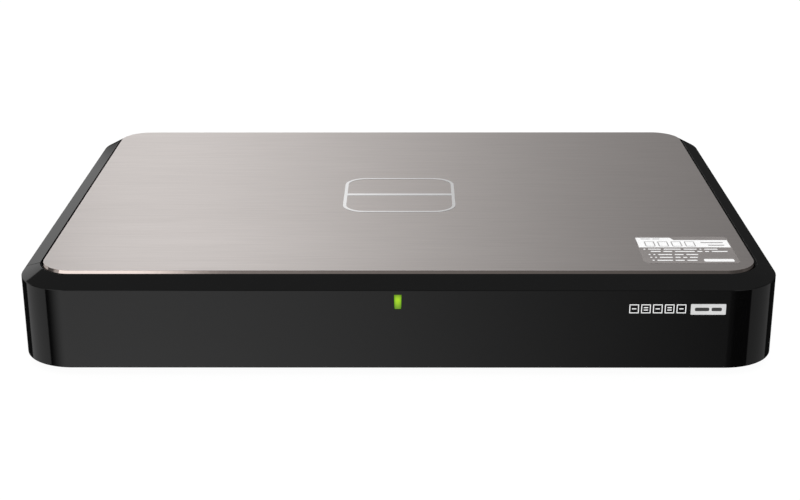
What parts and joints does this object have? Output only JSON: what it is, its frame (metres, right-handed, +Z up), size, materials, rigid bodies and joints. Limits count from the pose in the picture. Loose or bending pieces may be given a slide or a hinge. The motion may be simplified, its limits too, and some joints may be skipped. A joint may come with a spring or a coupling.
{
  "type": "network attached storage",
  "caption": "Fanless low-profile network attached storage: rounded black case under a brushed metal plate, pull-off front bezel, drive trays with swing levers, rear sockets.",
  "frame": {"origin": "centre of the footprint, on the surface the feet stand on", "axes": "+X towards the object's right as seen from in front, +Y towards the rear with the sockets, +Z up; the front bezel faces -Y"},
  "size_m": [0.302, 0.22, 0.0413],
  "materials": {
    "black_case": "satin black with a fine brushed grain",
    "black_gloss": "dark satin gloss",
    "brushed_plate": "brushed along the width, with a bright cut edge",
    "bright_metal": "polished",
    "label_film": "satin film",
    "zinc_steel": "zinc-plated sheet",
    "black_steel": "black powder coat",
    "rubber": "matte",
    "green_light": "translucent, lit from behind",
    "tray_plastic": "fine texture",
    "drive_casting": "bare die casting",
    "drive_lid": "satin",
    "circuit_board": "green solder mask",
    "socket_plastic": "moulded",
    "heatsink_aluminium": "extruded",
    "cable_jacket": "matte jacket"
  },
  "bodies": {
    "chassis": {"top_cover": "black_case", "top_plate": "brushed_plate", "emblem": "bright_metal", "info_label": "label_film", "base_pan": "zinc_steel", "rear_panel": "black_steel", "foot_front_left": "rubber", "foot_front_right": "rubber", "foot_rear_left": "rubber", "foot_rear_right": "rubber", "rear_screw_1": "black_steel", "rear_screw_2": "black_steel", "rear_screw_3": "black_steel", "drive_cage": "zinc_steel", "front_bracket_left": "zinc_steel", "front_bracket_right": "zinc_steel", "sata_backplane": "circuit_board", "sata_socket_left": "socket_plastic", "sata_socket_right": "socket_plastic", "backplane_link": "socket_plastic", "led_board": "circuit_board", "status_led": "label_film", "infrared_receiver": "black_gloss", "led_cable": "cable_jacket", "mainboard": "circuit_board", "processor": "circuit_board", "heatsink": "heatsink_aluminium", "coin_cell_holder": "socket_plastic", "coin_cell": "bright_metal", "buzzer": "socket_plastic", "hdmi_port_1": "zinc_steel", "hdmi_port_2": "zinc_steel", "lan_port_1": "zinc_steel", "lan_port_2": "zinc_steel", "usb3_ports": "zinc_steel", "usb2_ports": "zinc_steel", "dc_inlet": "socket_plastic", "power_switch": "socket_plastic", "reset_switch": "socket_plastic"},
    "bezel": {"front_bezel": "black_gloss", "light_pipe": "green_light", "bezel_magnet_left": "bright_metal", "bezel_magnet_right": "bright_metal"},
    "tray_assembly_left": {"tray_left": "tray_plastic", "lever_pin_left": "zinc_steel", "drive_casting_left": "drive_casting", "drive_lid_left": "drive_lid", "drive_board_left": "circuit_board"},
    "tray_lever_left": {"lever_left": "tray_plastic"},
    "release_button_left": {"lever_button_left": "green_light"},
    "tray_assembly_right": {"tray_right": "tray_plastic", "lever_pin_right": "zinc_steel", "drive_casting_right": "drive_casting", "drive_lid_right": "drive_lid", "drive_board_right": "circuit_board"},
    "tray_lever_right": {"lever_right": "tray_plastic"},
    "release_button_right": {"lever_button_right": "green_light"},
    "power_key": {"power_button": "black_gloss"},
    "reset_key": {"reset_button": "socket_plastic"}
  },
  "joints": [
    {"name": "bezel_pull", "type": "slide", "parent": "chassis", "child": "bezel", "axis": [0, -1, 0], "range_m": [0, 0.3]},
    {"name": "tray_slide_left", "type": "slide", "parent": "chassis", "child": "tray_assembly_left", "axis": [0, -1, 0], "range_m": [0, 0.17]},
    {"name": "lever_swing_left", "type": "hinge", "parent": "tray_assembly_left", "child": "tray_lever_left", "pos_m": [-0.1105, -0.1046, 0.02], "axis": [0, 0, -1], "range_deg": [0, 75.2]},
    {"name": "release_press_left", "type": "slide", "parent": "tray_lever_left", "child": "release_button_left", "axis": [-1, 0, 0], "range_m": [0, 0.0015], "stiffness_N_per_m": 250},
    {"name": "tray_slide_right", "type": "slide", "parent": "chassis", "child": "tray_assembly_right", "axis": [0, -1, 0], "range_m": [0, 0.17]},
    {"name": "lever_swing_right", "type": "hinge", "parent": "tray_assembly_right", "child": "tray_lever_right", "pos_m": [0.1105, -0.1046, 0.02], "axis": [0, 0, 1], "range_deg": [0, 75.2]},
    {"name": "release_press_right", "type": "slide", "parent": "tray_lever_right", "child": "release_button_right", "axis": [1, 0, 0], "range_m": [0, 0.0015], "stiffness_N_per_m": 250},
    {"name": "power_press", "type": "slide", "parent": "chassis", "child": "power_key", "axis": [0, -1, 0], "range_m": [0, 0.0012], "stiffness_N_per_m": 400},
    {"name": "reset_press", "type": "slide", "parent": "chassis", "child": "reset_key", "axis": [0, -1, 0], "range_m": [0, 0.0005], "stiffness_N_per_m": 400}
  ],
  "couplings": [
    {"joint": "tray_slide_left", "follows": "bezel_pull", "ratio": 0.5666},
    {"joint": "lever_swing_left", "follows": "bezel_pull", "rad_per_m": 4.363},
    {"joint": "tray_slide_right", "follows": "bezel_pull", "ratio": 0.5666},
    {"joint": "lever_swing_right", "follows": "bezel_pull", "rad_per_m": 4.363}
  ]
}
